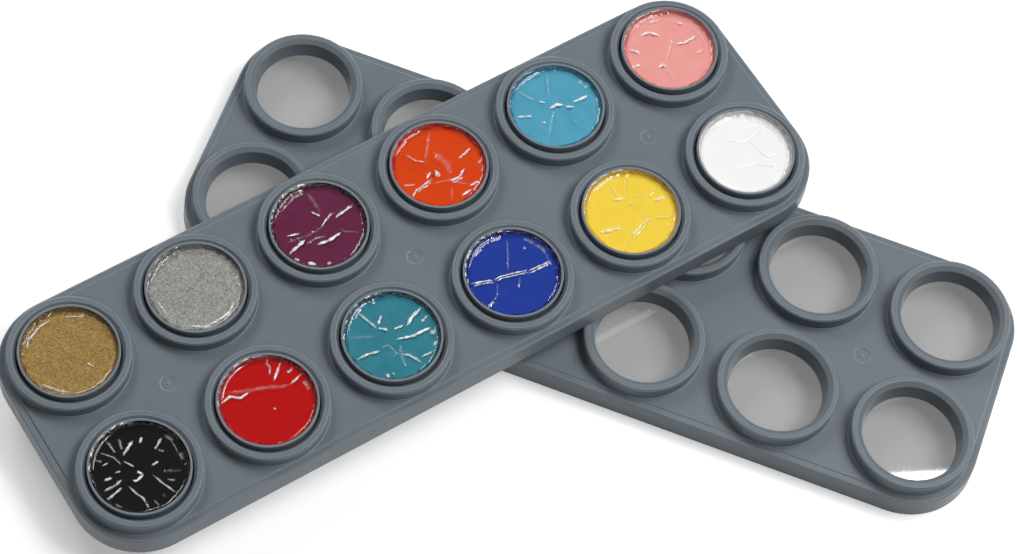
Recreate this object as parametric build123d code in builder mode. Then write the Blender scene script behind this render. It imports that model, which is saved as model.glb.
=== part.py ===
from build123d import *
from math import cos, pi, radians, sin, tan
import os

os.makedirs("parts", exist_ok=True)

# Face paint palette: a tray with twelve lift-out paint pans, lying across its own lid.
# Lengths are in millimetres, angles in degrees, heights up from the surface it stands on.

# Paints by row: gold is at the far left of the tray and white at the near right
colours = (
    ("gold", "silver", "purple", "orange", "light_blue", "pink"),
    ("black", "red", "teal", "blue", "yellow", "white"),
)

# Grid of cups, one to each paint, the same in the tray and in the lid
cups_long = len(colours[0])
cups_wide = len(colours)
pitch = 36.0

# Pan, its paint and its film
pan_inner_r = 12.3
pan_wall = 0.55
pan_floor = 0.8
pan_corner = 0.6
paint_depth = 5.3
rim_above_paint = 1.2
paint_gap = 0.05
film_thickness = 0.1
film_gap = 0.1
film_below_rim = 0.1
film_pleats = 16
film_pleat_depth = 0.35

# Tray moulding
well_clearance = 0.4
well_wall = 1.3
well_floor = 1.2
well_above_foot = 2.6
pan_proud = 0.9
collar_height = 3.7
collar_land = 1.6
lead_in = 0.95
plate = 1.5
tray_wall = 1.6
edge_margin = 1.9
shelf_width = 1.8
shelf_depth = 0.4
draft = 3.0
edge_break = 0.4
outline_break = 0.3

# Lid moulding and its window sheet
window_r = 12.2
window_draft = 10.0
lid_lead_width = 1.3
lid_lead_depth = 0.9
lid_land = 1.5
lid_collar_height = 4.2
lid_plate = 1.2
lid_shelf_depth = 0.2
window_gap = 0.3
window_thickness = 0.4
window_side_gap = 0.3
lid_fit = 0.2

# Gate marks on the centre line of both mouldings
gate_columns = (-2, 0, 2)
gate_r = 2.1
gate_depth = 0.15
gate_nub_r = 0.4

# How the tray lies across the lid
crossing_angle = 51.9
tray_shift_x = -43.7
tray_shift_y = -22.6

# Pan sizes and levels
pan_outer_r = pan_inner_r + pan_wall
pan_height = pan_floor + paint_depth + rim_above_paint
film_r = pan_inner_r - film_gap
film_wall = rim_above_paint - film_below_rim

# Tray sizes and levels, up from the tray's own foot
well_r = pan_outer_r + well_clearance
well_tube_r = well_r + well_wall
tray_collar_r = well_r + lead_in + collar_land
well_floor_top = well_above_foot + well_floor
tray_top = well_floor_top + pan_height - pan_proud
tray_plate_top = tray_top - collar_height
tray_shelf = tray_plate_top - shelf_depth
outline_r = tray_collar_r + edge_margin
tray_foot_r = outline_r + tray_plate_top * tan(radians(draft))
tray_cavity_r = outline_r - tray_wall

# Lid sizes and levels, up from the lid's own foot: closed, it stands on the tray's shelf, clear of the pans
window_bottom = shelf_depth + collar_height + pan_proud + window_gap
window_top = window_bottom + window_thickness
lid_plate_top = window_top + lid_plate
lid_shelf = lid_plate_top - lid_shelf_depth
lid_top = lid_plate_top + lid_collar_height
bore_height = lid_top - lid_lead_depth - window_top
bore_r = window_r + bore_height * tan(radians(window_draft))
lid_collar_r = bore_r + lid_lead_width + lid_land
lid_foot_r = outline_r + lid_plate_top * tan(radians(draft))
lid_cavity_r = tray_collar_r + lid_fit
window_sheet_r = lid_cavity_r - window_side_gap

# Corner centres of both outlines, out from the middle of the grid
corner_x = pitch * (cups_long - 1) / 2
corner_y = pitch * (cups_wide - 1) / 2

# The origin is under the middle of the whole arrangement
turn_cos = cos(radians(crossing_angle))
turn_sin = sin(radians(crossing_angle))
tray_reach_x = corner_x * turn_cos + corner_y * turn_sin + tray_foot_r
tray_reach_y = corner_x * turn_sin + corner_y * turn_cos + tray_foot_r
lid_reach_x = corner_x + lid_foot_r
lid_reach_y = corner_y + lid_foot_r
middle_x = (max(lid_reach_x, tray_shift_x + tray_reach_x) + min(-lid_reach_x, tray_shift_x - tray_reach_x)) / 2
middle_y = (max(lid_reach_y, tray_shift_y + tray_reach_y) + min(-lid_reach_y, tray_shift_y - tray_reach_y)) / 2
lid_base = Plane(origin=(-middle_x, -middle_y, 0), x_dir=(1, 0, 0), z_dir=(0, 0, 1))
tray_base = Plane(
    origin=(tray_shift_x - middle_x, tray_shift_y - middle_y, lid_top),
    x_dir=(turn_cos, turn_sin, 0),
    z_dir=(0, 0, 1),
)


def save(piece, name):
    piece.part.label = name
    export_step(piece.part, f"parts/{name}.step")


# Tray: a drafted skirt and top plate, with a stepped shelf all round and a raised collar over each well
with BuildPart() as tray:
    with BuildSketch(tray_base):
        RectangleRounded(2 * (corner_x + tray_foot_r), 2 * (corner_y + tray_foot_r), tray_foot_r)
    extrude(amount=tray_plate_top, taper=draft)
    with BuildSketch(tray_base):
        RectangleRounded(2 * (corner_x + tray_cavity_r), 2 * (corner_y + tray_cavity_r), tray_cavity_r)
    extrude(amount=tray_plate_top - plate, mode=Mode.SUBTRACT)
    with BuildSketch(tray_base.offset(tray_shelf)):
        RectangleRounded(2 * (corner_x + tray_foot_r), 2 * (corner_y + tray_foot_r), tray_foot_r)
        RectangleRounded(
            2 * (corner_x + outline_r - shelf_width),
            2 * (corner_y + outline_r - shelf_width),
            outline_r - shelf_width,
            mode=Mode.SUBTRACT,
        )
    extrude(amount=shelf_depth, mode=Mode.SUBTRACT)
    shelf_edges = tray.faces().filter_by(Axis.Z).sort_by(Axis.Z)[-2].outer_wire().edges()
    chamfer(shelf_edges, outline_break)
    with BuildSketch(tray_base.offset(tray_shelf)):
        with GridLocations(pitch, pitch, cups_long, cups_wide):
            Circle(tray_collar_r)
    extrude(amount=shelf_depth + collar_height)
    with BuildSketch(tray_base.offset(well_above_foot)):
        with GridLocations(pitch, pitch, cups_long, cups_wide):
            Circle(well_tube_r)
    extrude(amount=tray_plate_top - well_above_foot)
    with BuildSketch(tray_base.offset(well_floor_top)):
        with GridLocations(pitch, pitch, cups_long, cups_wide):
            Circle(well_r)
    extrude(amount=tray_top - well_floor_top, mode=Mode.SUBTRACT)
    top_edges = tray.edges().group_by(Axis.Z)[-1]
    chamfer(top_edges.filter_by(lambda edge: edge.radius < well_r + lead_in), lead_in)
    top_edges = tray.edges().group_by(Axis.Z)[-1]
    chamfer(top_edges.filter_by(lambda edge: edge.radius > well_r + lead_in + edge_break), edge_break)
    with BuildSketch(tray_base.offset(tray_plate_top - gate_depth)):
        with Locations([(pitch * column, 0) for column in gate_columns]):
            Circle(gate_r)
            Circle(gate_nub_r, mode=Mode.SUBTRACT)
    extrude(amount=gate_depth, mode=Mode.SUBTRACT)
save(tray, "tray")

# Lid: the same outline and shelf, and taller collars, each open through a drafted bore down to its window
with BuildPart() as lid:
    with BuildSketch(lid_base):
        RectangleRounded(2 * (corner_x + lid_foot_r), 2 * (corner_y + lid_foot_r), lid_foot_r)
    extrude(amount=lid_plate_top, taper=draft)
    with BuildSketch(lid_base):
        RectangleRounded(2 * (corner_x + lid_cavity_r), 2 * (corner_y + lid_cavity_r), lid_cavity_r)
    extrude(amount=window_top, mode=Mode.SUBTRACT)
    with BuildSketch(lid_base.offset(lid_shelf)):
        RectangleRounded(2 * (corner_x + lid_foot_r), 2 * (corner_y + lid_foot_r), lid_foot_r)
        RectangleRounded(
            2 * (corner_x + outline_r - shelf_width),
            2 * (corner_y + outline_r - shelf_width),
            outline_r - shelf_width,
            mode=Mode.SUBTRACT,
        )
    extrude(amount=lid_shelf_depth, mode=Mode.SUBTRACT)
    shelf_edges = lid.faces().filter_by(Axis.Z).sort_by(Axis.Z)[-2].outer_wire().edges()
    chamfer(shelf_edges, outline_break)
    with BuildSketch(lid_base.offset(lid_shelf)):
        with GridLocations(pitch, pitch, cups_long, cups_wide):
            Circle(lid_collar_r)
    extrude(amount=lid_shelf_depth + lid_collar_height)
    with BuildSketch(lid_base.offset(window_top)):
        with GridLocations(pitch, pitch, cups_long, cups_wide):
            Circle(window_r)
    extrude(amount=bore_height, taper=-window_draft, mode=Mode.SUBTRACT)
    with Locations(lid_base.offset(lid_top - lid_lead_depth)):
        with GridLocations(pitch, pitch, cups_long, cups_wide):
            Cone(
                bore_r,
                bore_r + lid_lead_width,
                lid_lead_depth,
                align=(Align.CENTER, Align.CENTER, Align.MIN),
                mode=Mode.SUBTRACT,
            )
    top_edges = lid.edges().group_by(Axis.Z)[-1]
    chamfer(top_edges.filter_by(lambda edge: edge.radius > bore_r + lid_lead_width + edge_break), edge_break)
    with BuildSketch(lid_base.offset(lid_plate_top - gate_depth)):
        with Locations([(pitch * column, 0) for column in gate_columns]):
            Circle(gate_r)
            Circle(gate_nub_r, mode=Mode.SUBTRACT)
    extrude(amount=gate_depth, mode=Mode.SUBTRACT)
save(lid, "lid")

# Window sheet: one flat clear sheet glued under all twelve collars
with BuildPart() as window_sheet:
    with BuildSketch(lid_base.offset(window_bottom)):
        RectangleRounded(
            2 * (corner_x + window_sheet_r), 2 * (corner_y + window_sheet_r), window_sheet_r
        )
    extrude(amount=window_thickness)
save(window_sheet, "window_sheet")

# A pan in each well, with its paint and its film
for row, row_colours in enumerate(colours):
    for column, colour in enumerate(row_colours):
        seat_point = (pitch * column - corner_x, corner_y - pitch * row, well_floor_top)
        seat = Plane(tray_base.from_local_coords(seat_point), x_dir=tray_base.x_dir, z_dir=tray_base.z_dir)
        side = Plane(origin=seat.origin, x_dir=seat.x_dir, z_dir=-seat.y_dir)
        upright = Axis(seat.origin, seat.z_dir)

        # Thin moulded cup, turned about its own axis
        with BuildPart() as pan:
            with BuildSketch(side):
                with BuildLine():
                    Polyline(
                        (0, 0),
                        (pan_outer_r - pan_corner, 0),
                        (pan_outer_r, pan_corner),
                        (pan_outer_r, pan_height),
                        (pan_inner_r, pan_height),
                        (pan_inner_r, pan_floor),
                        (0, pan_floor),
                        close=True,
                    )
                make_face()
            revolve(axis=upright)
        save(pan, f"pan_{colour}")

        # Paint poured to a level below the rim
        with BuildPart() as paint:
            with BuildSketch(seat.offset(pan_floor)):
                Circle(pan_inner_r - paint_gap)
            extrude(amount=paint_depth)
        save(paint, f"paint_{colour}")

        # Clear film pressed on the paint, its edge standing up the pan wall in small pleats
        outer_points = []
        inner_points = []
        for step in range(2 * film_pleats):
            angle = pi * step / film_pleats
            reach = film_r - film_pleat_depth * (step % 2)
            outer_points.append((reach * cos(angle), reach * sin(angle)))
            reach = reach - film_thickness
            inner_points.append((reach * cos(angle), reach * sin(angle)))
        with BuildPart() as film:
            with BuildSketch(seat.offset(pan_floor + paint_depth)):
                Polygon(*outer_points, align=None)
            extrude(amount=film_wall)
            with BuildSketch(seat.offset(pan_floor + paint_depth + film_thickness)):
                Polygon(*inner_points, align=None)
            extrude(amount=film_wall, mode=Mode.SUBTRACT)
        save(film, f"film_{colour}")
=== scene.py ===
import bpy
import math
import numpy as np
from mathutils import Euler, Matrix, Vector


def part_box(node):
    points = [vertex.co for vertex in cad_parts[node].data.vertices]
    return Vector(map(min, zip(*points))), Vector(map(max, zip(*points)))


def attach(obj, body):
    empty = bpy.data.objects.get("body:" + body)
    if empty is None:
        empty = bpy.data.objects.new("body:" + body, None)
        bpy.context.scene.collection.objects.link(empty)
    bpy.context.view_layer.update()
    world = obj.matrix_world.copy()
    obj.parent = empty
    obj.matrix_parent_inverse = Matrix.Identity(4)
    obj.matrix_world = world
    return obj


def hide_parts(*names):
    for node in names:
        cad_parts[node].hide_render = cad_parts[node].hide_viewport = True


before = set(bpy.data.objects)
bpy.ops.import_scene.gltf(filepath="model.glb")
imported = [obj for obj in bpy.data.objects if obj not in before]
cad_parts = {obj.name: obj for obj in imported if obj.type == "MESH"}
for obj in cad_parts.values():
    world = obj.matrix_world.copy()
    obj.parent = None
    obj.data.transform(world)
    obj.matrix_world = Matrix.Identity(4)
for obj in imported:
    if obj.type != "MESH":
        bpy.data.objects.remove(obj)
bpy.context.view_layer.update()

# Paints in the two rows of the tray, far row first
COLOURS = (
    ("gold", "silver", "purple", "orange", "light_blue", "pink"),
    ("black", "red", "teal", "blue", "yellow", "white"),
)
METALLIC = ("gold", "silver")

# Darker and lighter tone of each paint
PAINTS = {
    "gold": ((0.160, 0.083, 0.012), (0.445, 0.298, 0.089)),
    "silver": ((0.144, 0.145, 0.132), (0.42, 0.42, 0.40)),
    "purple": ((0.116, 0.012, 0.050), (0.135, 0.017, 0.061)),
    "orange": ((0.65, 0.045, 0.000), (0.68, 0.059, 0.001)),
    "light_blue": ((0.070, 0.32, 0.46), (0.092, 0.36, 0.51)),
    "pink": ((0.79, 0.315, 0.287), (0.82, 0.355, 0.330)),
    "black": ((0.002, 0.002, 0.002), (0.004, 0.004, 0.004)),
    "red": ((0.46, 0.000, 0.000), (0.50, 0.001, 0.001)),
    "teal": ((0.025, 0.190, 0.250), (0.038, 0.226, 0.290)),
    "blue": ((0.008, 0.035, 0.290), (0.014, 0.045, 0.330)),
    "yellow": ((0.86, 0.605, 0.048), (0.885, 0.655, 0.070)),
    "white": ((0.87, 0.87, 0.86), (0.89, 0.89, 0.88)),
}

# Plastics: darker and lighter tone, roughness, and how far the edges are rounded in metres
GREY_PLASTIC = ((0.134, 0.158, 0.179), (0.150, 0.176, 0.199), 0.30, 0.0004)
PAN_PLASTIC = ((0.150, 0.174, 0.196), (0.170, 0.196, 0.220), 0.28, 0.0002)

# Specular level of the plastics and of the cake paints, and the metal in the metallic ones
PLASTIC_GLOSS = 0.18
CAKE_GLOSS = 0.08
METAL_SHARE = 0.55

# Painted highlights along the rounded plastic edges: cosines of the bend where they start and where they are
# full, their share, and their gain
HIGHLIGHT_BENDS = (0.995, 0.90)
HIGHLIGHT_SHARE = 0.75
HIGHLIGHT_GAIN = 2.3

# Clear plastics: roughness and tint, and how much both mirror when seen straight on
CLEAR_SHEET = (0.02, (0.755, 0.755, 0.755))
CLEAR_FILM = (0.07, (0.98, 0.98, 0.98))
STRAIGHT_GLOSS = 0.045
# White of the film's painted highlights along its folds and at its rim
FILM_HIGHLIGHT_WHITE = 0.95

# Camera, in metres and degrees
CAMERA_PLACE = (0.05012, -0.34307, 0.68199)
CAMERA_TURN = (27.364, -3.606, 20.487)
LENS = 103.885
SENSOR = 36.0
SHIFT_X = 0.098
SHIFT_Y = -0.0011

# Lamps: bearing and lean from upright in degrees, distance and side in metres, power in watts
LAMPS = {
    "key": (31, 32, 1.4, 0.8, 13.5),
    "fill": (142, 46, 1.3, 0.5, 6.0),
    "side": (0, 30, 1.5, 0.2, 3),
    "near": (278, 34, 1.3, 0.14, 0.8),
}

# Small lamp that is mirrored in the lid's near right window, in metres, degrees and watts
CARD_SIDES = (0.14, 0.08)
CARD_PLACE = (0.1842, 0.5438, 1.2)
CARD_TURN = 25.4
CARD_POWER = 0.7

# Floor: half its side in metres, its colour, and the glow that camera, mirrored and refracted rays see
FLOOR_REACH = 3
FLOOR_COLOUR = 0.88
FLOOR_GLOW = 0.30

# Strength of the sky at the horizon and overhead
SKY_LOW = 0.17
SKY_HIGH = 0.09

# Film, in millimetres: where it leaves the paint, how near it comes to the pan's wall, and its grid
FILM_BEND = 10.95
FILM_WALL = 12.15
FILM_LIFT = 0.05
FILM_STEPS = 240
FILM_RINGS = 48
WALL_RINGS = 7

# Pleats up the wall, uneven stretches of the film's edge, its glints, its bends and its crumples
PLEATS = 52
EDGE_STRETCHES = 110
GLINT_STRETCHES = 170
BENDS = 11
BEND_REACH = 0.28
BEND_PLAY = 0.35
WIDE_PULL = 0.9
CRUMPLES = 9
CRUMPLE_SLOPE = 0.004

# Part of a fold's listed half width that is kept
FOLD_KEPT = 0.72

# Length in millimetres above which a tip of the film counts as lying over the rim
LIP_LEAST = 0.05

# Directions round a pan in degrees from the tray's length: where the film's edge lies over the rim,
# and where the film leaves the paint furthest from the wall and its painted shade up the wall is darkest
LIP_SIDE = 118
WIDE_SIDE = 45

# Nearness to the lip's direction at which the lip starts, and over which it grows to full
LIP_START = 0.76
LIP_SPAN = 0.2

# How much of each film's edge lies over the pan's rim
LIPS = {
    "gold": 0.0, "silver": 0.35, "purple": 0.9, "orange": 0.15, "light_blue": 0.35, "pink": 0.5,
    "black": 1.0, "red": 0.8, "teal": 0.6, "blue": 0.8, "yellow": 0.45, "white": 0.4,
}

# Paint on a pan's wall, in millimetres: uneven stretches of its two edges, how far out its foot lies and
# how far that plays, its lift, and radius and share of its height for each ring above the foot
WALL_TOP_STRETCHES = 70
WALL_FOOT_STRETCHES = 60
WALL_FOOT = 11.90
WALL_FOOT_PLAY = 0.75
WALL_LIFT = 0.012
WALL_PROFILE = ((12.10, 0.04), (12.24, 0.20), (12.27, 1.0), (12.31, 0.98))
WALL_SEED = 100

# Folds in each film, in millimetres from the pan's middle, with x along the tray: how strong the fold is
# (how white its painted highlight, how dark its painted shade and partly how high it stands), its half width
# or the half widths at its two ends, and the points along its crest
FOLDS = {
    "gold": (
        (0.75, 0.26, (-8.9, 5.6), (-7.0, 7.9), (-2.9, 9.8), (0.9, 10.3)),
        (0.75, 0.26, (3.2, 9.5), (8.2, 6.8), (10.3, 3.7), (11.1, -0.3)),
        (0.45, 0.50, (-10.0, -4.4), (-7.3, -7.8), (-4.8, -9.8)),
        (0.60, 0.30, (2.5, -4.6), (3.4, -6.5)),
        (0.10, 0.35, (-2.7, 5.6), (-1.4, 2.7)),
        (0.12, 0.35, (3.6, -7.0), (4.0, -10.6)),
    ),
    "silver": (
        (
            0.60, 0.30,
            (-9.1, 6.4), (-6.2, 9.1), (-2.2, 10.7), (1.7, 10.7),
            (5.1, 9.3), (8.8, 6.6), (10.5, 3.9), (10.9, 1.6),
        ),
        (0.50, 0.40, (-10.1, 1.8), (-9.9, -3.2)),
        (0.85, 0.38, (-6.6, -8.2), (-3.3, -10.5), (0.1, -10.6), (4.2, -10.0), (5.9, -8.4), (7.2, -8.2)),
        (0.70, 0.35, (10.1, -2.3), (11.1, -2.7)),
        (0.15, 0.30, (5.9, -1.5), (8.4, -1.7)),
    ),
    "purple": (
        (0.90, 0.42, (-8.2, 1.5), (-5.4, 0.7)),
        (1.00, (0.25, 0.70), (-10.7, -3.1), (-8.0, -2.4), (-5.2, -1.6)),
        (0.70, 0.30, (0.3, -0.5), (2.4, 0.8), (4.5, 1.6), (5.3, 1.4)),
        (1.00, 0.42, (5.1, 0.2), (10.3, 1.2)),
        (0.35, 0.30, (-5.3, -2.8), (-2.2, -2.5), (0.1, -3.3)),
        (1.00, 0.55, (-3.0, -4.3), (0.3, -4.7), (3.9, -4.2)),
        (0.90, 0.35, (0.5, 4.5), (1.8, 2.6)),
        (0.12, 0.90, (2.4, 9.7), (2.4, 3.5)),
        (0.18, 0.30, (4.4, -3.0), (4.9, -4.4), (8.3, -6.5)),
        (0.85, 0.50, (-10.1, -5.0), (-9.3, -5.8)),
        (0.90, 0.55, (-7.6, -7.6), (-6.2, -9.0)),
        (0.80, 0.40, (-3.6, -10.4), (-2.6, -10.2)),
        (0.40, 0.25, (-6.4, 8.4), (-1.3, 10.4), (2.0, 10.1)),
        (0.10, 0.60, (-9.5, 0.0), (-4.0, -0.8), (1.0, -0.6)),
    ),
    "orange": (
        (0.60, 0.30, (-10.9, -0.5), (-8.1, -1.7)),
        (0.80, 0.30, (-10.8, -4.5), (-9.1, -3.3), (-6.8, -2.9), (-3.5, -2.3)),
        (0.60, 0.24, (-9.4, -3.9), (-6.8, -3.5), (-4.2, -3.0)),
        (0.70, 0.42, (-4.7, -1.5), (-2.8, -0.4)),
        (0.75, (0.15, 1.15), (-1.4, -0.2), (-1.6, -2.5)),
        (0.90, 0.32, (5.7, -0.5), (8.2, 0.1), (10.2, 0.7)),
        (0.95, 0.32, (0.2, -4.6), (1.0, -5.2), (3.2, -5.2), (5.5, -3.7)),
        (0.70, 0.28, (0.4, -5.8), (1.6, -6.1), (3.6, -5.7)),
        (0.50, 0.32, (-5.6, 7.0), (-4.5, 4.5), (-2.5, 2.7)),
        (0.15, 0.55, (3.2, 9.9), (-1.0, 4.5), (-2.2, 3.6)),
        (0.25, 0.35, (-3.9, -3.6), (-0.2, -4.7), (4.0, -8.4)),
        (0.95, 0.40, (4.2, -8.9), (6.5, -8.7)),
        (0.95, 0.40, (0.7, -10.3), (3.6, -9.9)),
        (0.75, 0.25, (9.0, 6.6), (10.7, 3.7)),
        (0.75, 0.25, (10.9, 1.6), (11.2, -0.7)),
        (0.75, 0.35, (9.4, -4.2), (10.7, -3.6)),
        (0.75, 0.28, (-5.6, 9.5), (-2.2, 10.7), (1.1, 10.8), (4.4, 10.1)),
        (0.12, 1.60, (1.0, 4.0), (2.2, -0.5), (1.4, -3.2)),
        (0.12, 0.50, (-2.5, -10.6), (-0.2, -6.7)),
    ),
    "light_blue": (
        (0.35, 0.32, (-6.0, 8.9), (-4.1, 5.3), (-3.7, 4.5)),
        (0.90, 0.38, (-10.5, 2.6), (-6.8, 0.8)),
        (1.00, 0.60, (-1.4, 0.5), (0.5, 0.7), (2.2, -0.3)),
        (1.00, 0.55, (2.6, -1.1), (4.2, -2.2)),
        (1.00, 0.48, (5.0, -0.9), (9.5, -1.1)),
        (0.25, 0.35, (3.4, 9.5), (1.3, 5.8), (0.3, 3.9)),
        (0.15, 0.35, (2.2, -4.7), (2.4, -7.8)),
        (0.80, 0.40, (-3.7, 10.7), (-0.4, 10.9), (3.2, 10.4)),
        (0.70, 0.40, (-3.0, 3.7), (-1.8, 2.8)),
        (0.50, 0.25, (9.5, 3.7), (10.3, 0.8)),
        (0.50, 0.35, (-5.4, -2.3), (-4.5, -2.5)),
        (0.12, 0.50, (-7.6, -8.0), (-3.0, -3.0), (-0.6, -0.4)),
    ),
    "pink": (
        (0.95, 0.50, (-4.2, 7.6), (-1.7, 7.4), (0.3, 5.1)),
        (0.75, 0.50, (-9.2, 5.1), (-7.8, 4.1), (-7.4, 3.0)),
        (0.80, 0.42, (-11.6, 0.5), (-9.2, 0.1)),
        (0.90, 0.38, (2.4, 0.9), (4.9, 0.0), (9.1, 0.3)),
        (0.50, 0.32, (5.7, -4.0), (8.5, -4.5)),
        (0.90, 0.45, (-5.5, -3.2), (-4.0, -2.7), (-3.4, -4.1)),
        (0.25, 0.35, (-3.6, -4.7), (-4.0, -8.4)),
        (0.12, 0.35, (-3.6, -3.4), (4.5, 4.1)),
        (0.50, 0.35, (-0.5, 10.1), (3.7, 9.1)),
        (0.80, 0.35, (6.6, 6.2), (7.8, 5.1)),
        (0.70, 0.35, (-11.6, -2.0), (-11.1, -2.2)),
        (0.30, 0.25, (9.4, 3.4), (9.9, -1.0), (9.2, -4.5)),
    ),
    "black": (
        (0.25, 0.22, (-8.9, 7.0), (-5.2, 9.7), (-3.5, 10.4), (-0.6, 10.6)),
        (0.45, 0.32, (-3.5, 10.0), (-3.2, 6.6)),
        (0.40, 0.38, (-0.6, 9.5), (-1.4, 6.4)),
        (0.35, 0.30, (-6.2, 8.1), (-4.1, 5.6), (-3.5, 3.1)),
        (0.90, 0.45, (-1.8, 5.0), (0.2, 6.2), (1.9, 7.2)),
        (0.90, 0.35, (3.2, 5.8), (4.4, 7.0)),
        (0.85, 0.30, (5.7, 2.6), (8.4, 4.3)),
        (0.80, 0.35, (-8.9, 1.4), (-7.0, 1.0)),
        (0.55, 0.38, (-10.4, -1.1), (-7.2, -1.1), (-5.2, -0.5)),
        (0.85, 0.30, (-11.0, -3.6), (-8.9, -3.0), (-6.4, -2.5)),
        (0.55, 0.35, (-4.7, -2.7), (-3.9, -5.7), (-3.1, -7.3), (-3.2, -10.7)),
        (0.55, 0.35, (1.9, -3.2), (3.0, -6.5), (4.4, -9.8)),
        (0.85, 0.42, (-3.0, -2.0), (-2.3, -2.6), (0.0, -1.9)),
        (0.85, 0.42, (-1.0, -0.4), (-0.2, -1.7)),
        (0.55, 0.35, (-2.5, 3.5), (-1.0, 1.0)),
        (0.50, 0.32, (4.4, -5.9), (5.9, -7.1)),
        (0.35, 0.28, (-1.0, -9.2), (-0.8, -11.0)),
        (0.30, 0.28, (1.5, -8.6), (1.7, -9.8)),
        (0.75, 0.30, (3.0, -0.9), (4.8, -0.7)),
        (0.25, 0.28, (-9.9, -5.0), (-8.0, -8.1)),
        (0.30, 0.20, (6.3, 8.5), (9.0, 5.6), (10.2, 2.7), (10.2, 0.2), (10.0, -3.2)),
        (0.60, 0.32, (-5.6, 1.8), (-4.5, 1.6)),
        (0.50, 0.32, (6.3, 2.0), (7.3, 1.0)),
        (0.45, 0.32, (-8.3, 7.0), (-7.2, 6.0)),
        (0.45, 0.32, (-7.6, 5.0), (-6.2, 5.0)),
        (0.10, 0.50, (4.5, -3.6), (8.5, -5.6)),
    ),
    "red": (
        (0.85, 0.45, (-10.1, 5.2), (-7.4, 5.8), (-5.3, 4.1), (-3.0, 4.5)),
        (0.15, 0.85, (-7.4, 7.0), (-3.0, 5.0), (1.7, 3.5), (5.1, 1.8), (7.6, 1.2)),
        (0.85, 0.35, (7.6, 1.4), (10.5, 2.2)),
        (0.90, 0.35, (4.2, 4.2), (7.6, 7.2)),
        (0.50, 0.32, (4.0, 6.0), (5.3, 8.1), (4.7, 9.7)),
        (0.80, 0.35, (8.2, 4.5), (9.7, 4.3)),
        (0.40, 0.25, (-7.4, 8.7), (-4.1, 10.4), (-0.1, 10.9)),
        (0.35, 0.22, (8.1, 6.9), (10.3, 3.0), (10.4, -3.2)),
        (0.70, 0.35, (-11.3, 3.7), (-9.3, 5.8)),
        (0.35, 0.40, (0.3, -2.4), (0.8, -2.7)),
    ),
    "teal": (
        (1.00, 0.45, (-10.7, -1.1), (-8.0, -1.1), (-4.7, -1.9)),
        (1.00, 0.48, (0.5, -1.1), (4.5, -2.3), (10.1, -2.5)),
        (1.00, 0.50, (4.9, 0.8), (7.0, 2.2), (10.3, 3.3)),
        (0.80, 0.42, (-4.0, 10.0), (-3.0, 6.8), (-2.2, 4.1)),
        (0.90, 0.50, (-1.7, 3.7), (0.1, 2.2)),
        (0.90, 0.38, (-1.3, 4.7), (0.7, 6.4)),
        (0.70, 0.45, (-0.5, -5.2), (1.0, -6.3), (2.8, -9.8)),
        (0.35, 0.24, (-4.0, -1.3), (-2.0, -1.5), (-1.3, -4.4), (-2.6, -4.8)),
        (0.85, 0.40, (1.6, 1.6), (4.1, 1.4)),
        (0.85, 0.32, (3.7, -8.4), (6.8, -8.5)),
        (0.85, 0.35, (7.8, -7.3), (9.9, -5.7)),
        (0.70, 0.75, (9.1, -3.7), (10.4, -4.7)),
        (0.80, 0.35, (8.7, 0.0), (10.7, 0.6)),
        (0.70, 0.25, (-6.3, 8.5), (-4.0, 10.0), (-0.9, 11.0), (0.8, 10.3), (2.8, 10.8)),
        (0.80, 0.32, (4.5, 10.2), (5.4, 9.6)),
        (0.80, 0.32, (6.4, 8.9), (7.6, 8.0)),
        (0.85, 0.40, (8.9, 6.6), (9.7, 5.4)),
        (0.80, 0.42, (-6.7, -8.2), (-6.2, -8.9)),
        (0.70, 0.35, (-5.2, -8.6), (-4.8, -9.3)),
        (0.12, 0.70, (-9.7, 5.2), (-3.8, 2.2)),
        (0.15, 0.80, (0.6, -3.0), (-0.4, -5.0), (-1.4, -8.5)),
    ),
    "blue": (
        (0.95, 0.28, (-11.2, 2.9), (-6.4, 1.5), (-5.6, 0.8)),
        (0.85, 0.22, (-11.2, 2.3), (-6.6, 0.9), (-5.6, 0.2)),
        (0.95, 0.28, (-5.2, 0.9), (-3.5, 1.0), (0.3, 0.1), (3.6, -0.9)),
        (0.85, 0.22, (-5.2, 0.3), (-3.5, 0.4), (0.3, -0.6), (3.8, -1.6)),
        (0.95, 0.26, (4.0, -1.2), (10.2, -1.6)),
        (0.90, 0.26, (3.6, -1.9), (10.2, -2.1)),
        (0.20, 0.42, (4.0, 9.3), (1.5, 4.9), (-0.6, 1.6)),
        (0.20, 0.30, (-5.0, -0.3), (-6.6, -3.0), (-8.5, -4.2)),
        (0.90, 0.40, (-8.5, -4.2), (-10.6, -4.9)),
        (0.18, 0.35, (0.9, -1.8), (-0.4, -3.4)),
        (0.60, 0.35, (-0.4, -3.4), (-0.8, -3.9)),
        (0.65, 0.25, (-9.3, 7.6), (-4.3, 9.7), (-1.0, 10.8), (4.0, 9.9)),
        (0.30, 0.20, (7.5, 7.4), (9.4, 4.1), (10.2, 2.0), (9.8, -4.2)),
        (0.50, 0.28, (6.1, 4.7), (6.9, 5.1)),
    ),
    "yellow": (
        (0.75, 0.38, (-10.5, -0.9), (-4.9, -2.2)),
        (0.55, 0.38, (-2.0, 5.3), (0.9, 4.7)),
        (0.45, 0.32, (-4.3, -6.4), (-3.7, -5.7), (2.6, -3.6), (3.8, -4.9)),
        (0.30, 0.28, (-4.3, -6.4), (-1.0, -5.6), (2.4, -4.4)),
        (0.20, 0.38, (0.9, 3.7), (4.7, 9.9)),
        (0.10, 0.35, (2.6, 4.5), (5.1, 2.8), (5.1, 0.8), (2.6, -2.4)),
        (0.75, 0.38, (7.4, 0.1), (10.1, -0.3)),
        (0.20, 0.35, (6.3, 1.4), (10.1, 3.2)),
        (0.30, 0.35, (4.2, -4.0), (7.6, -5.7), (9.2, -5.5)),
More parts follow.
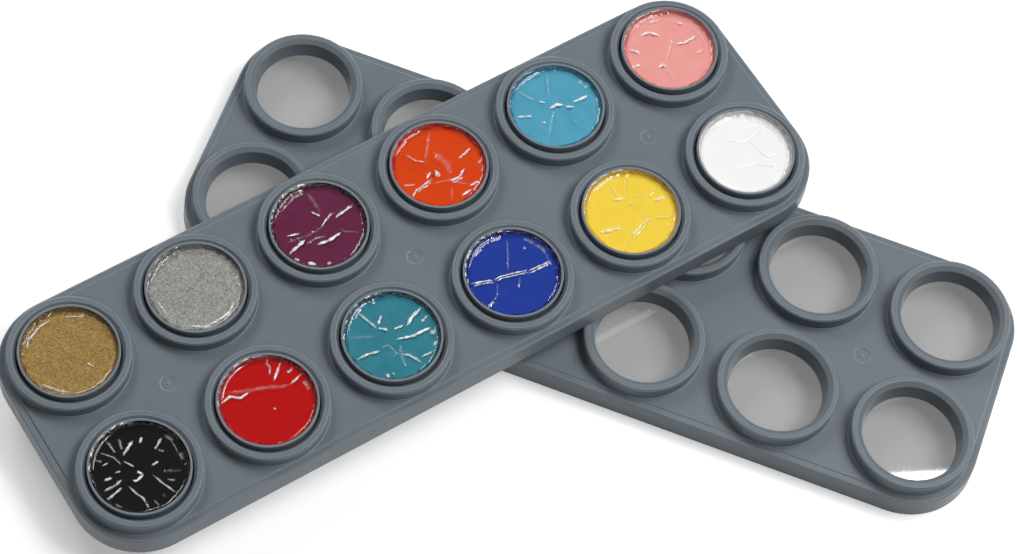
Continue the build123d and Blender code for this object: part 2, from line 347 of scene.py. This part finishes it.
        (0.15, 0.35, (-8.0, -8.2), (-4.5, -6.3)),
        (0.18, 0.35, (-0.1, 9.5), (-0.3, 5.3)),
        (0.50, 0.25, (10.6, 4.8), (11.4, 1.2), (11.2, -2.6)),
        (0.40, 0.35, (1.2, 2.6), (2.0, 1.8)),
    ),
    "white": (
        (0.25, 0.35, (-3.0, 6.0), (2.0, 3.0), (8.0, 4.0)),
        (0.25, 0.35, (-6.0, -2.0), (0.0, -3.5), (6.0, -8.0)),
        (0.25, 0.35, (3.0, 2.5), (4.5, -3.5), (9.5, -4.5)),
        (0.30, 0.25, (6.0, 8.6), (9.6, 4.6), (10.6, 0.5), (10.0, -4.0)),
    ),
}


def material(name):
    """An empty node material, with its node tree and its output."""
    made = bpy.data.materials.new(name)
    made.use_nodes = True
    tree = made.node_tree
    tree.nodes.clear()
    output = tree.nodes.new("ShaderNodeOutputMaterial")
    return made, tree, output


def position(tree):
    """Object coordinates, in metres."""
    return tree.nodes.new("ShaderNodeTexCoord").outputs["Object"]


def attribute(tree, name):
    """A value stored on the points of a mesh."""
    made = tree.nodes.new("ShaderNodeAttribute")
    made.attribute_name = name
    return made.outputs["Fac"]


def noise_node(tree, scale, detail=3.0, roughness=0.5):
    made = tree.nodes.new("ShaderNodeTexNoise")
    made.inputs["Scale"].default_value = scale
    made.inputs["Detail"].default_value = detail
    made.inputs["Roughness"].default_value = roughness
    tree.links.new(position(tree), made.inputs["Vector"])
    return made.outputs["Fac"]


def ramp(tree, factor, low, high, start=0.3, stop=0.7):
    made = tree.nodes.new("ShaderNodeValToRGB")
    made.color_ramp.elements[0].position = start
    made.color_ramp.elements[0].color = (*low, 1)
    made.color_ramp.elements[1].position = stop
    made.color_ramp.elements[1].color = (*high, 1)
    tree.links.new(factor, made.inputs["Fac"])
    return made.outputs["Color"]


def bump(tree, height, strength, distance, normal=None):
    made = tree.nodes.new("ShaderNodeBump")
    made.inputs["Strength"].default_value = strength
    made.inputs["Distance"].default_value = distance
    tree.links.new(height, made.inputs["Height"])
    if normal:
        tree.links.new(normal, made.inputs["Normal"])
    return made.outputs["Normal"]


def maths(tree, operation, *values, clamp=False):
    """A math node, whose values are sockets to link or numbers to set."""
    made = tree.nodes.new("ShaderNodeMath")
    made.operation = operation
    made.use_clamp = clamp
    for socket, value in zip(made.inputs, values):
        if isinstance(value, (int, float)):
            socket.default_value = value
        else:
            tree.links.new(value, socket)
    return made.outputs[0]


def stretched(tree, value, from_low, from_high, to_low, to_high):
    """A value carried from one range to another and held inside it."""
    made = tree.nodes.new("ShaderNodeMapRange")
    made.inputs["From Min"].default_value = from_low
    made.inputs["From Max"].default_value = from_high
    made.inputs["To Min"].default_value = to_low
    made.inputs["To Max"].default_value = to_high
    tree.links.new(value, made.inputs["Value"])
    return made.outputs[0]


def mixed(tree, share, first, second):
    """Two shaders mixed, with the share of the second."""
    made = tree.nodes.new("ShaderNodeMixShader")
    for socket, value in zip(made.inputs, (share, first, second)):
        tree.links.new(value, socket)
    return made.outputs[0]


def with_painted_edge_highlights(tree, tone, rounded, light):
    """The plastic's tone with a painted highlight: made paler where its rounded normal leans away from the
    plain one.
    """
    turned = tree.nodes.new("ShaderNodeVectorMath")
    turned.operation = "DOT_PRODUCT"
    tree.links.new(rounded, turned.inputs[0])
    tree.links.new(tree.nodes.new("ShaderNodeNewGeometry").outputs["Normal"], turned.inputs[1])
    made = tree.nodes.new("ShaderNodeMixRGB")
    made.inputs[2].default_value = (*(band * HIGHLIGHT_GAIN for band in light), 1)
    tree.links.new(stretched(tree, turned.outputs["Value"], *HIGHLIGHT_BENDS, 0, HIGHLIGHT_SHARE), made.inputs[0])
    tree.links.new(tone, made.inputs[1])
    return made.outputs[0]


def moulded_plastic(name, dark, light, roughness, rounding):
    """Satin grey plastic: a faint cloudy tone, a very fine grain, and slightly rounded edges with a painted
    highlight along them.
    """
    made, tree, output = material(name)
    shader = tree.nodes.new("ShaderNodeBsdfPrincipled")
    shader.inputs["Roughness"].default_value = roughness
    shader.inputs["Specular IOR Level"].default_value = PLASTIC_GLOSS
    bevel = tree.nodes.new("ShaderNodeBevel")
    bevel.samples = 6
    bevel.inputs["Radius"].default_value = rounding
    rounded = bevel.outputs["Normal"]
    tone = ramp(tree, noise_node(tree, 55.0, 4.0, 0.6), dark, light)
    tree.links.new(with_painted_edge_highlights(tree, tone, rounded, light), shader.inputs["Base Color"])
    grain = noise_node(tree, 3200.0, 2.0)
    tree.links.new(bump(tree, grain, 0.2, 0.00003, rounded), shader.inputs["Normal"])
    tree.links.new(shader.outputs[0], output.inputs["Surface"])
    return made


def cake_paint(name, dark, light):
    """Pressed cake paint: a smooth body colour with soft mottling."""
    made, tree, output = material(name)
    shader = tree.nodes.new("ShaderNodeBsdfPrincipled")
    shader.inputs["Roughness"].default_value = 0.5
    shader.inputs["Specular IOR Level"].default_value = CAKE_GLOSS
    mottle = noise_node(tree, 260.0, 4.0, 0.6)
    tree.links.new(ramp(tree, mottle, dark, light), shader.inputs["Base Color"])
    tree.links.new(bump(tree, noise_node(tree, 900.0), 0.3, 0.0001), shader.inputs["Normal"])
    tree.links.new(shader.outputs[0], output.inputs["Surface"])
    return made


def metallic_paint(name, dark, light):
    """Pressed paint full of fine metal flakes."""
    made, tree, output = material(name)
    shader = tree.nodes.new("ShaderNodeBsdfPrincipled")
    shader.inputs["Metallic"].default_value = METAL_SHARE
    shader.inputs["Roughness"].default_value = 0.5
    flakes = tree.nodes.new("ShaderNodeTexVoronoi")
    flakes.inputs["Scale"].default_value = 3600.0
    tree.links.new(position(tree), flakes.inputs["Vector"])
    split = tree.nodes.new("ShaderNodeSeparateColor")
    tree.links.new(flakes.outputs["Color"], split.inputs[0])
    cloud = maths(tree, "MULTIPLY", noise_node(tree, 420.0, 4.0, 0.65), 0.45)
    grains = maths(tree, "MULTIPLY_ADD", split.outputs[0], 0.55, cloud)
    tree.links.new(ramp(tree, grains, dark, light, 0.15, 0.85), shader.inputs["Base Color"])
    tree.links.new(bump(tree, grains, 0.5, 0.00012), shader.inputs["Normal"])
    tree.links.new(shader.outputs[0], output.inputs["Surface"])
    return made


def clear_layer(name, roughness, tint, creased):
    """Thin clear plastic: see-through and glossy, and where it can fold, with painted white highlights along
    its folds and at its rim and painted shade beside its folds and up the wall.
    """
    made, tree, output = material(name)
    clear = tree.nodes.new("ShaderNodeBsdfTransparent")
    clear.inputs["Color"].default_value = (*tint, 1)
    gloss = tree.nodes.new("ShaderNodeBsdfGlossy")
    gloss.inputs["Roughness"].default_value = roughness
    lean = tree.nodes.new("ShaderNodeLayerWeight")
    grazing = maths(tree, "POWER", lean.outputs["Facing"], 5.0)
    share = stretched(tree, grazing, 0, 1, STRAIGHT_GLOSS, 1)
    surface = mixed(tree, share, clear.outputs[0], gloss.outputs[0])
    if creased:
        # Painted shade: the film's tint darkens towards black where the shade attribute is high, beside its
        # folds and up the wall
        beside = ramp(tree, attribute(tree, "shade"), tint, (0.0, 0.0, 0.0), 0.0, 1.0)
        tree.links.new(beside, clear.inputs["Color"])
        # Painted highlights: white scatter along the folds, and broken white glints where the rim attribute
        # is high
        spread = stretched(tree, noise_node(tree, 900.0, 2.0), 0.3, 0.62, 0.35, 1)
        fold_highlight_share = maths(tree, "MULTIPLY", attribute(tree, "painted_highlight"), spread)
        bits = stretched(tree, noise_node(tree, 1700.0, 1.0), 0.46, 0.54, 0, 1)
        whole = maths(tree, "MULTIPLY_ADD", attribute(tree, "rim"), bits, fold_highlight_share, clamp=True)
        highlight_white_shader = tree.nodes.new("ShaderNodeBsdfDiffuse")
        highlight_white_shader.inputs["Color"].default_value = (FILM_HIGHLIGHT_WHITE, FILM_HIGHLIGHT_WHITE, FILM_HIGHLIGHT_WHITE, 1)
        surface = mixed(tree, whole, surface, highlight_white_shader.outputs[0])
    tree.links.new(surface, output.inputs["Surface"])
    return made


def dress(name, finish):
    """Gives a carried-over CAD node its finish."""
    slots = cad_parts[name].data.materials
    slots.clear()
    slots.append(finish)


def middle(box):
    return (Vector(box[0]) + Vector(box[1])) / 2


def rim_rise(colour):
    """How far a pan's rim stands above its paint, in millimetres."""
    return (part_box(f"pan_{colour}")[1][2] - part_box(f"paint_{colour}")[1][2]) * 1000


along = (middle(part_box("paint_pink")) - middle(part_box("paint_gold"))).normalized()
across = (middle(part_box("paint_gold")) - middle(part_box("paint_black"))).normalized()


def fold_field(points, folds, chance):
    """How high the folds lift each point, how much painted highlight they put on it, and how much painted
    shade they put beside them.
    """
    height = np.zeros(len(points))
    white = np.zeros(len(points))
    shade = np.zeros(len(points))
    for strength, width, *crest in folds:
        start_width, stop_width = width if isinstance(width, tuple) else (width, width)
        near = np.full(len(points), 99.0)
        signed = np.zeros(len(points))
        place = np.zeros(len(points))
        length = sum(math.dist(a, b) for a, b in zip(crest, crest[1:]))
        run = 0.0
        for start, stop in zip(crest, crest[1:]):
            start, stop = np.array(start), np.array(stop)
            reach = np.linalg.norm(stop - start)
            forward = (stop - start) / reach
            share = np.clip((points - start) @ forward / reach, 0, 1)
            offset = points - start - share[:, None] * (stop - start)
            distance = np.linalg.norm(offset, axis=1)
            closer = distance < near
            place = np.where(closer, run + share * reach, place)
            signed = np.where(closer, offset @ np.array([-forward[1], forward[0]]), signed)
            near = np.minimum(near, distance)
            run += reach
        share = place / length
        taper = np.clip(np.minimum(share, 1 - share) * 4.5 + 0.25, 0, 1)
        uneven = 1 + 0.22 * np.sin(place * chance.uniform(2.0, 4.0) + chance.uniform(0, 6))
        half = (start_width + (stop_width - start_width) * share) * taper * uneven * FOLD_KEPT
        side = np.clip(1 - near / half, 0, 1)
        height = np.maximum(height, (0.06 + 0.35 * half) * side * min(1, 0.35 + strength))
        sharp = 2.4 if strength > 0.3 else 1.1
        white = np.maximum(white, strength * np.clip(side * sharp, 0, 1) * (0.6 + 0.4 * taper))
        # Painted shade in a band beside one flank of each fold
        beside = np.clip(1 - np.abs(signed + 1.5 * half) / (0.55 * half + 0.08), 0, 1) * (near < 3 * half)
        shade = np.maximum(shade, 0.55 * strength * beside * taper)
    return height, white, shade


def pan_mesh(name, colour, rows, finish, faces):
    """A mesh of points given in millimetres from the top of a pan's paint, lying in that pan."""
    low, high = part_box(f"paint_{colour}")
    centre = middle((low, high))
    points = []
    for u, v, z in rows:
        place = centre + along * (u / 1000) + across * (v / 1000)
        points.append((place.x, place.y, high[2] + z / 1000))
    mesh = bpy.data.meshes.new(name)
    mesh.from_pydata(points, [], faces)
    mesh.shade_smooth()
    mesh.materials.append(finish)
    piece = bpy.data.objects.new(name, mesh)
    bpy.context.collection.objects.link(piece)
    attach(piece, f"pan_{colour}")
    return piece


def ring_faces(first, rings, steps):
    """Faces between rings of points, each ring outside the one before."""
    faces = []
    for ring in range(rings - 1):
        base = first + ring * steps
        for step in range(steps):
            after = (step + 1) % steps
            faces.append((base + step, base + steps + step, base + steps + after, base + after))
    return faces


def circle():
    """Angles round a pan, and the cosine and sine of each."""
    angles = np.linspace(0, 2 * math.pi, FILM_STEPS, endpoint=False)
    return angles, np.cos(angles), np.sin(angles)


def toward(angles, side):
    """One in the direction named and nought opposite it."""
    return 0.5 + 0.5 * np.cos(angles - math.radians(side))


def uneven_angles(chance, count, play):
    return (np.arange(count) + chance.uniform(-play, play, count)) / count * 2 * math.pi


def jagged(chance, angles, corners, low, high):
    """Straight runs between uneven values at uneven angles."""
    places = uneven_angles(chance, corners, 0.35)
    return np.interp(angles, places, chance.uniform(low, high, corners), period=2 * math.pi)


def pleat_depths(chance, angles):
    """How far each pleat stands in from the wall: in and out by turns, with straight film between."""
    corners = uneven_angles(chance, PLEATS, 0.35)
    odd = np.arange(PLEATS) % 2 == 1
    depths = np.where(odd, chance.uniform(0.15, 0.7, PLEATS), chance.uniform(0, 0.1, PLEATS))
    return np.interp(angles, corners, depths, period=2 * math.pi)


def bend_radii(chance, angles, wide):
    """Where the film leaves the paint: a rounded polygon, pulled in on its wide side."""
    corners = np.sort(uneven_angles(chance, BENDS, 0.3))
    gap = np.min(np.abs((angles[:, None] - corners + math.pi) % (2 * math.pi) - math.pi), axis=1)
    return FILM_BEND + BEND_PLAY - WIDE_PULL * wide - BEND_PLAY * np.clip(1 - gap / BEND_REACH, -1, 1)


def crumpled(chance, points):
    """Shallow creases that cross the whole film."""
    height = np.zeros(len(points))
    for _ in range(CRUMPLES):
        turn, phase, pitch = chance.uniform(0, math.pi), chance.uniform(0, 7), chance.uniform(2.5, 6.0)
        wave = (points @ np.array([math.cos(turn), math.sin(turn)])) / pitch + phase
        height += np.abs(wave % 2 - 1) * pitch * CRUMPLE_SLOPE
    return height


def film(colour, seed):
    """Clear film pressed on the paint, folded where it was gathered and pleated up the pan's wall."""
    rise = rim_rise(colour)
    chance = np.random.default_rng(seed)
    angles, ring_u, ring_v = circle()
    pleat = pleat_depths(chance, angles)
    lip = LIPS[colour] * np.clip((toward(angles, LIP_SIDE) - LIP_START) / LIP_SPAN, 0, 1)
    edge = rise * np.clip(jagged(chance, angles, EDGE_STRETCHES, 0.45, 1.0) + lip, 0, 1)
    lip_reach = lip * np.clip(jagged(chance, angles, EDGE_STRETCHES, -0.35, 0.75), 0, 1)
    over_rim = lip_reach > LIP_LEAST
    wide = toward(angles, WIDE_SIDE)
    bend = bend_radii(chance, angles, wide)

    # Field on the paint
    radii = np.arange(1, FILM_RINGS + 1)[:, None] / FILM_RINGS * bend
    flat = np.stack([(radii * ring_u).ravel(), (radii * ring_v).ravel()], 1)
    flat = np.concatenate([np.zeros((1, 2)), flat])
    height, white, shade = fold_field(flat, FOLDS[colour], chance)
    height = FILM_LIFT + crumpled(chance, flat) + height
    last, last_fold_highlight = height[-FILM_STEPS:], white[-FILM_STEPS:]

    # Curve up the wall, where the painted fold highlights fade with height, with painted glints in broken
    # bits near its top
    glint = jagged(chance, angles, GLINT_STRETCHES, 0, 1) > 0.62
    rows, heights, fold_and_rim_highlights, shades, rim_glints = [flat], [height], [white], [shade], [np.zeros(len(flat))]
    for ring in range(1, WALL_RINGS + 1):
        share = ring / WALL_RINGS
        turn = share * math.pi / 2
        radius = bend + (FILM_WALL - pleat * share * (1 - 0.8 * lip) - bend) * math.sin(turn)
        rows.append(np.stack([radius * ring_u, radius * ring_v], 1))
        heights.append(last + (edge - last) * (1 - math.cos(turn)))
        fold_and_rim_highlights.append(last_fold_highlight * max(0, 1 - share * 3))
        rim_glints.append(share**4 * (0.2 + 0.5 * lip))
        # Painted shade on the film up the wall, darkest on the wide side and towards the top
        shades.append(0.22 * (0.25 + 0.75 * wide) * min(1, 0.3 + share) * np.ones(FILM_STEPS))

    # Free edge, with the tips that lie over the rim, and painted glints on those tips
    for share in (0.5, 1.0):
        outward = radius + 0.04 * share + lip_reach * share
        rows.append(np.stack([outward * ring_u, outward * ring_v], 1))
        heights.append(np.maximum(edge + 0.03 * share, over_rim * (rise + 0.05)))
        fold_and_rim_highlights.append(over_rim * glint * 0.7)
        rim_glints.append(0.4 + 0.6 * over_rim)
        shades.append(np.zeros(FILM_STEPS))
    flat, height = np.concatenate(rows), np.concatenate(heights)
    faces = [(0, 1 + step, 1 + (step + 1) % FILM_STEPS) for step in range(FILM_STEPS)]
    faces += ring_faces(1, FILM_RINGS + WALL_RINGS + 2, FILM_STEPS)
    piece = pan_mesh(f"clear_film_{colour}", colour, np.column_stack([flat, height]), clear_film, faces)
    for name, values in (("painted_highlight", fold_and_rim_highlights), ("shade", shades), ("rim", rim_glints)):
        stored = piece.data.attributes.new(name, "FLOAT", "POINT")
        stored.data.foreach_set("value", np.concatenate(values).astype(np.float32))
    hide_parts(f"film_{colour}")


def shaded_wall_paint(colour, seed, finish):
    """Paint left on the pan's wall above its level, with an uneven upper edge and an uneven foot, in the
    finish given, which is a darker copy of the paint as painted shade.
    """
    chance = np.random.default_rng(seed)
    angles, ring_u, ring_v = circle()
    top = rim_rise(colour) * jagged(chance, angles, WALL_TOP_STRETCHES, 0.50, 0.98)
    foot = WALL_FOOT - jagged(chance, angles, WALL_FOOT_STRETCHES, 0.0, WALL_FOOT_PLAY)
    profile = ((foot, 0.0), *WALL_PROFILE)
    rows = []
    for radius, share in profile:
        height = WALL_LIFT + share * top
        rows.append(np.stack([radius * ring_u, radius * ring_v, height], 1))
    faces = ring_faces(0, len(profile), FILM_STEPS)
    piece = pan_mesh(f"shaded_wall_paint_{colour}", colour, np.concatenate(rows), finish, faces)


def set_floor():
    """Plain pale floor, which keeps the object's shadow."""
    mesh = bpy.data.meshes.new("floor")
    corners = [(x * FLOOR_REACH, y * FLOOR_REACH, 0) for x, y in ((-1, -1), (1, -1), (1, 1), (-1, 1))]
    mesh.from_pydata(corners, [], [(0, 1, 2, 3)])
    floor = bpy.data.objects.new("floor", mesh)
    bpy.context.collection.objects.link(floor)
    made, tree, output = material("floor_white")
    diffuse = tree.nodes.new("ShaderNodeBsdfDiffuse")
    diffuse.inputs["Color"].default_value = (FLOOR_COLOUR, FLOOR_COLOUR, FLOOR_COLOUR, 1)
    path = tree.nodes.new("ShaderNodeLightPath")
    rays = path.outputs["Is Camera Ray"]
    for other in ("Is Glossy Ray", "Is Transmission Ray"):
        rays = maths(tree, "MAXIMUM", rays, path.outputs[other])
    glow = tree.nodes.new("ShaderNodeEmission")
    tree.links.new(maths(tree, "MULTIPLY", rays, FLOOR_GLOW), glow.inputs["Strength"])
    whole = tree.nodes.new("ShaderNodeAddShader")
    tree.links.new(diffuse.outputs[0], whole.inputs[0])
    tree.links.new(glow.outputs[0], whole.inputs[1])
    tree.links.new(whole.outputs[0], output.inputs["Surface"])
    mesh.materials.append(made)


def set_sky():
    """White sky, a little stronger at the horizon than overhead."""
    world = bpy.data.worlds.new("studio")
    bpy.context.scene.world = world
    world.use_nodes = True
    tree = world.node_tree
    backdrop = tree.nodes["Background"]
    backdrop.inputs["Color"].default_value = (1, 1, 1, 1)
    split = tree.nodes.new("ShaderNodeSeparateXYZ")
    tree.links.new(tree.nodes.new("ShaderNodeTexCoord").outputs["Generated"], split.inputs[0])
    level = stretched(tree, split.outputs["Z"], 0, 1, SKY_LOW, SKY_HIGH)
    tree.links.new(level, backdrop.inputs["Strength"])


def area_lamp(name, sides, power):
    data = bpy.data.lights.new(name, "AREA")
    data.shape = "RECTANGLE"
    data.size, data.size_y = sides
    data.energy = power
    lamp = bpy.data.objects.new(name, data)
    bpy.context.collection.objects.link(lamp)
    return lamp


def set_lamps():
    """Square lamps aimed at the middle of the object, and the small one that faces down."""
    for name, (bearing, lean, distance, side, power) in LAMPS.items():
        turn, slope = math.radians(bearing), math.radians(lean)
        outward = Vector(
            (math.sin(slope) * math.cos(turn), math.sin(slope) * math.sin(turn), math.cos(slope))
        )
        lamp = area_lamp(name, (side, side), power)
        lamp.location = outward * distance
        lamp.rotation_euler = outward.to_track_quat("Z", "Y").to_euler()
    card = area_lamp("card", CARD_SIDES, CARD_POWER)
    card.location = CARD_PLACE
    card.rotation_euler = (0, 0, math.radians(CARD_TURN))


def set_camera():
    data = bpy.data.cameras.new("camera")
    data.lens = LENS
    data.sensor_width = SENSOR
    data.shift_x = SHIFT_X
    data.shift_y = SHIFT_Y
    camera = bpy.data.objects.new("camera", data)
    camera.location = CAMERA_PLACE
    camera.rotation_euler = Euler([math.radians(angle) for angle in CAMERA_TURN], "XYZ")
    bpy.context.collection.objects.link(camera)
    bpy.context.scene.camera = camera


grey = moulded_plastic("grey_plastic", *GREY_PLASTIC)
pan_grey = moulded_plastic("pan_plastic", *PAN_PLASTIC)
clear_sheet = clear_layer("clear_sheet", *CLEAR_SHEET, creased=False)
clear_film = clear_layer("clear_film", *CLEAR_FILM, creased=True)
dress("tray", grey)
dress("lid", grey)
dress("window_sheet", clear_sheet)

for seed, colour in enumerate(COLOURS[0] + COLOURS[1], 1):
    dress(f"pan_{colour}", pan_grey)
    make = metallic_paint if colour in METALLIC else cake_paint
    dress(f"paint_{colour}", make(f"paint_{colour}", *PAINTS[colour]))
    # A darker, deeper copy of each paint's tones for the real paint left on the wall: painted shade of the
    # rim and wall
    wall_shade_tones = [tuple(band**1.5 * 0.85 for band in tone) for tone in PAINTS[colour]]
    shaded_wall_paint(colour, WALL_SEED + seed, make(f"shaded_wall_paint_{colour}", *wall_shade_tones))
    film(colour, seed)

set_floor()
set_sky()
set_lamps()
set_camera()
bpy.context.scene.view_settings.view_transform = "Standard"
